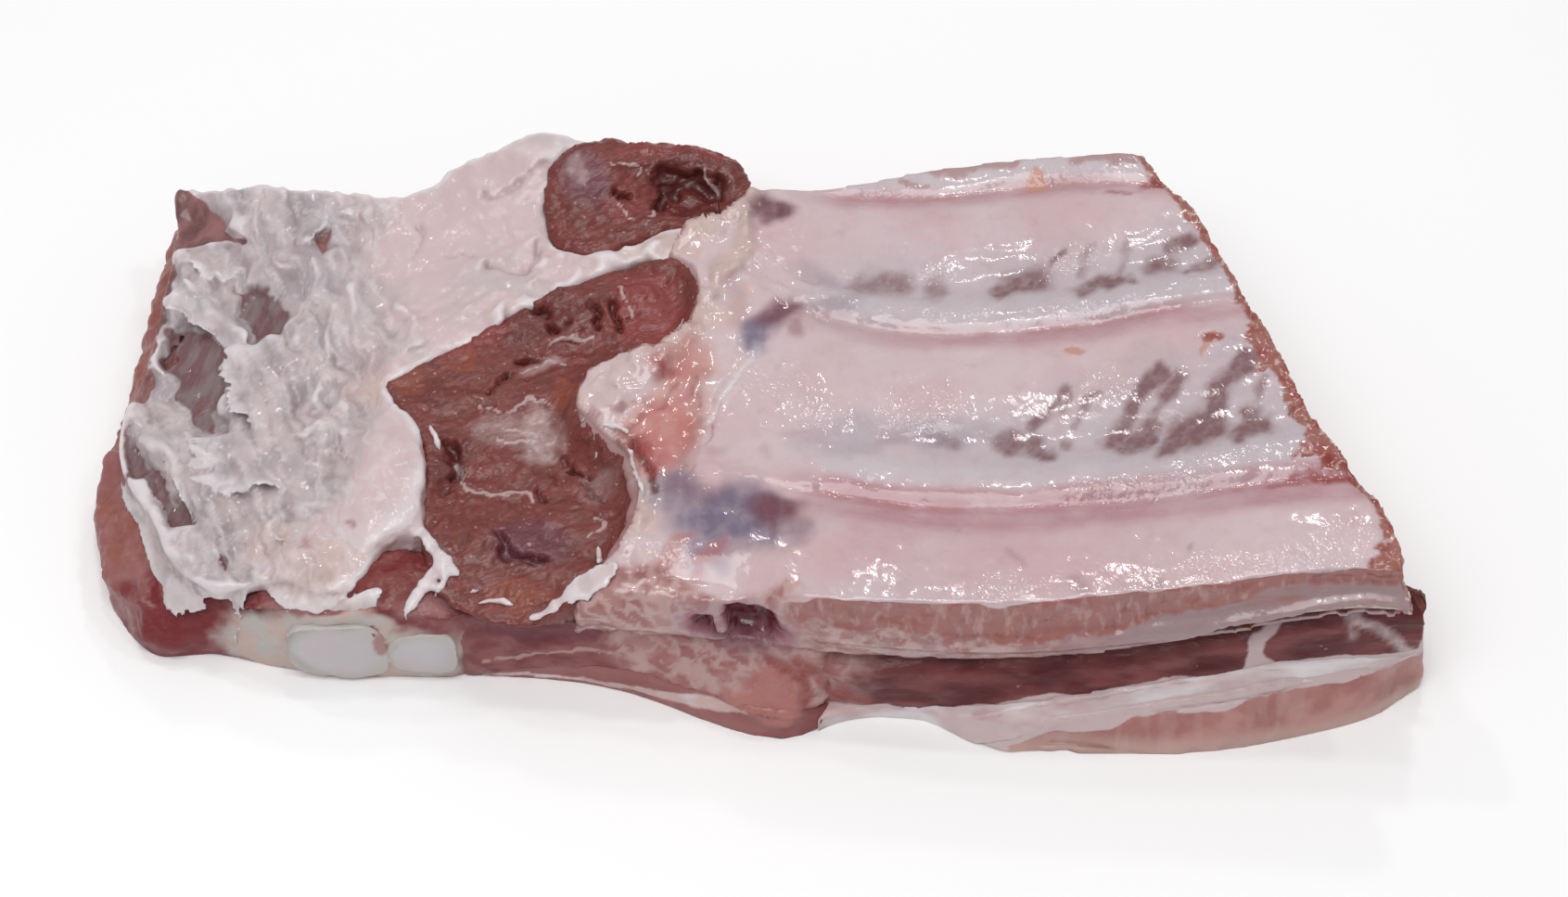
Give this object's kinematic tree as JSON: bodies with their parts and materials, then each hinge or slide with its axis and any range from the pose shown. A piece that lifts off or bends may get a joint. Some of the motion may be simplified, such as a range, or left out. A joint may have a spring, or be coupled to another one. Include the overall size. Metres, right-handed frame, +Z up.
{
  "type": "rack of pork spare ribs",
  "caption": "Raw slab of pork spare ribs lying rib side up: membrane-covered ribs to a saw cut, torn breast fat with dark skirt muscle, and layered belly meat at the cut front edge.",
  "frame": {"origin": "middle of the slab's outer box, on the table under it", "axes": "+X along the ribs towards the sawn end, +Y towards the back edge, +Z up out of the rib side"},
  "size_m": [0.2374, 0.1181, 0.04],
  "materials": {
    "membrane": "wet pale pink membrane over ribs and meat",
    "bone": "damp sawn bone",
    "breast_fat": "torn white fat, damp",
    "skirt": "dark red muscle, moist",
    "breast_lean": "red-brown lean meat, moist",
    "cartilage": "smooth bluish white cartilage",
    "brisket": "mottled pink meat and fat, moist",
    "pectoral": "purple-pink lean meat, moist",
    "flank": "dark red lean meat, moist",
    "fat_seam": "white fat, damp",
    "belly": "pale pink lean meat, moist"
  },
  "bodies": {
    "root": {"rib_plate": "membrane", "rib_bone_1": "bone", "rib_bone_2": "bone", "rib_bone_3": "bone", "breast_fat": "breast_fat", "skirt_front": "skirt", "skirt_back": "skirt", "breast_lean": "breast_lean", "cartilage_1": "cartilage", "cartilage_2": "cartilage", "brisket_meat": "brisket", "pectoral_meat": "pectoral", "flank_meat": "flank", "fat_seam": "fat_seam", "belly_meat": "belly"}
  },
  "joints": []
}
